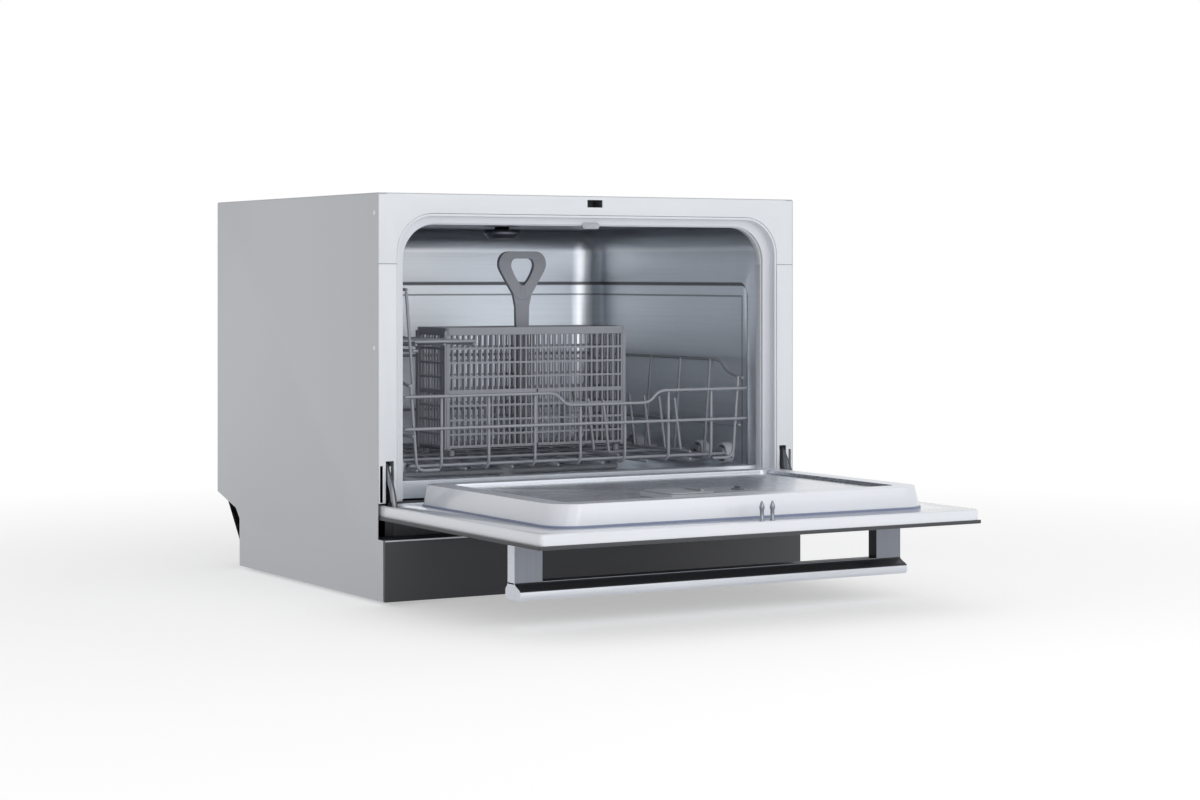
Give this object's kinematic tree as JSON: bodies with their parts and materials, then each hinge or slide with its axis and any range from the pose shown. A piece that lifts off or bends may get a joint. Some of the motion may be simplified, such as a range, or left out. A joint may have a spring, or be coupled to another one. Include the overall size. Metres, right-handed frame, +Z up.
{
  "type": "compact dishwasher",
  "caption": "Table-top dishwasher with a drop-down front door, a wheeled wire rack, cutlery basket, folding cup shelf and its water parts.",
  "frame": {"origin": "bottom centre of the whole machine at rest, with the door open and the rack pushed in", "axes": "+X to the machine's right as seen from the front, +Y from the door to the back, +Z up"},
  "size_m": [0.55, 0.819, 0.45],
  "materials": {
    "case_grey": "satin",
    "back_steel": "satin",
    "dark_plastic": "matte",
    "rubber_black": "matte",
    "black_gloss": "gloss",
    "trim_grey": "satin",
    "seal_grey": "matte",
    "clear_tab": "gloss",
    "tub_steel": "brushed",
    "pump_grey": "matte",
    "filter_grey": "matte",
    "arm_grey": "satin",
    "black_glass": "gloss",
    "door_white": "gloss",
    "door_steel": "brushed",
    "handle_silver": "satin",
    "bright_steel": "satin",
    "dispenser_grey": "satin",
    "dispenser_cap": "satin",
    "board_green": "satin",
    "basket_grey": "satin",
    "wire_grey": "satin",
    "spring_steel": "satin",
    "arm_white": "gloss",
    "wheel_grey": "satin"
  },
  "bodies": {
    "machine": {"back_panel": "back_steel", "base_tray": "dark_plastic", "cord_gland": "dark_plastic", "door_lock": "dark_plastic", "door_seal": "seal_grey", "drain_pump": "pump_grey", "drain_spigot": "pump_grey", "feet": "rubber_black", "filter_plate": "tub_steel", "flow_heater": "tub_steel", "front_frame_trim": "trim_grey", "front_pillar_left": "trim_grey", "front_pillar_right": "trim_grey", "hinge_bracket_left": "bright_steel", "hinge_bracket_right": "bright_steel", "hinge_spring_left": "spring_steel", "hinge_spring_right": "spring_steel", "inlet_valve": "pump_grey", "leak_float": "filter_grey", "plinth_panel": "black_gloss", "side_panel_left": "case_grey", "side_panel_right": "case_grey", "splash_tab": "clear_tab", "spray_feed_pipe": "pump_grey", "sump": "pump_grey", "top_panel": "case_grey", "tub": "tub_steel", "upper_spray_head": "arm_grey", "wash_pump": "pump_grey"},
    "door": {"door_glass": "black_glass", "door_frame": "door_white", "door_inner_panel": "door_steel", "door_handle": "handle_silver", "latch_hook": "bright_steel", "dispenser_body": "dispenser_grey", "hinge_arm_left": "arm_white", "hinge_arm_right": "arm_white", "control_board": "board_green"},
    "rack": {"rack_floor": "wire_grey", "rack_front": "wire_grey", "rack_back": "wire_grey", "rack_side_left": "wire_grey", "rack_side_right": "wire_grey", "plate_tines": "wire_grey", "shelf_fence": "wire_grey"},
    "detergent_lid": {"detergent_lid": "dispenser_grey"},
    "rinse_cap": {"rinse_cap": "dispenser_cap"},
    "lower_spray_arm": {"lower_spray_arm": "arm_grey"},
    "filter_cylinder": {"filter_cylinder": "filter_grey"},
    "cup_shelf": {"cup_shelf": "wire_grey"},
    "cutlery_basket": {"cutlery_basket": "basket_grey"},
    "wheel_left_front": {"wheel_left_front": "wheel_grey"},
    "wheel_left_middle": {"wheel_left_middle": "wheel_grey"},
    "wheel_left_rear": {"wheel_left_rear": "wheel_grey"},
    "wheel_right_front": {"wheel_right_front": "wheel_grey"},
    "wheel_right_middle": {"wheel_right_middle": "wheel_grey"},
    "wheel_right_rear": {"wheel_right_rear": "wheel_grey"}
  },
  "joints": [
    {"name": "door_hinge", "type": "hinge", "parent": "machine", "child": "door", "pos_m": [0, -0.0605, 0.101], "axis": [1, 0, 0], "range_deg": [-90, 0]},
    {"name": "rack_slide", "type": "slide", "parent": "machine", "child": "rack", "axis": [0, -1, 0], "range_m": [0, 0.24]},
    {"name": "basket_lift", "type": "slide", "parent": "rack", "child": "cutlery_basket", "axis": [0, 0, 1], "range_m": [0, 0.02]},
    {"name": "cup_shelf_fold", "type": "hinge", "parent": "rack", "child": "cup_shelf", "pos_m": [-0.21, 0.1175, 0.275], "axis": [0, -1, 0], "range_deg": [0, 78]},
    {"name": "spray_arm_spin", "type": "hinge", "parent": "machine", "child": "lower_spray_arm", "pos_m": [0, 0.1725, 0.1215], "axis": [0, 0, 1], "continuous": true},
    {"name": "filter_turn", "type": "hinge", "parent": "machine", "child": "filter_cylinder", "pos_m": [0.088, 0.2475, 0.109], "axis": [0, 0, 1], "range_deg": [0, 60]},
    {"name": "detergent_lid_slide", "type": "slide", "parent": "door", "child": "detergent_lid", "axis": [1, 0, 0], "range_m": [0, 0.038]},
    {"name": "rinse_cap_turn", "type": "hinge", "parent": "door", "child": "rinse_cap", "pos_m": [0.0223, -0.3135, 0.1335], "axis": [0, 0, 1], "range_deg": [0, 90]},
    {"name": "wheel_left_front_roll", "type": "hinge", "parent": "rack", "child": "wheel_left_front", "pos_m": [-0.222, 0.0145, 0.1445], "axis": [1, 0, 0], "continuous": true},
    {"name": "wheel_left_middle_roll", "type": "hinge", "parent": "rack", "child": "wheel_left_middle", "pos_m": [-0.222, 0.0685, 0.1445], "axis": [1, 0, 0], "continuous": true},
    {"name": "wheel_left_rear_roll", "type": "hinge", "parent": "rack", "child": "wheel_left_rear", "pos_m": [-0.222, 0.2215, 0.1445], "axis": [1, 0, 0], "continuous": true},
    {"name": "wheel_right_front_roll", "type": "hinge", "parent": "rack", "child": "wheel_right_front", "pos_m": [0.222, 0.0145, 0.1445], "axis": [1, 0, 0], "continuous": true},
    {"name": "wheel_right_middle_roll", "type": "hinge", "parent": "rack", "child": "wheel_right_middle", "pos_m": [0.222, 0.0685, 0.1445], "axis": [1, 0, 0], "continuous": true},
    {"name": "wheel_right_rear_roll", "type": "hinge", "parent": "rack", "child": "wheel_right_rear", "pos_m": [0.222, 0.2215, 0.1445], "axis": [1, 0, 0], "continuous": true}
  ],
  "couplings": [
    {"joint": "wheel_left_front_roll", "follows": "rack_slide", "rad_per_m": 80},
    {"joint": "wheel_left_middle_roll", "follows": "rack_slide", "rad_per_m": 80},
    {"joint": "wheel_left_rear_roll", "follows": "rack_slide", "rad_per_m": 80},
    {"joint": "wheel_right_front_roll", "follows": "rack_slide", "rad_per_m": 80},
    {"joint": "wheel_right_middle_roll", "follows": "rack_slide", "rad_per_m": 80},
    {"joint": "wheel_right_rear_roll", "follows": "rack_slide", "rad_per_m": 80}
  ]
}
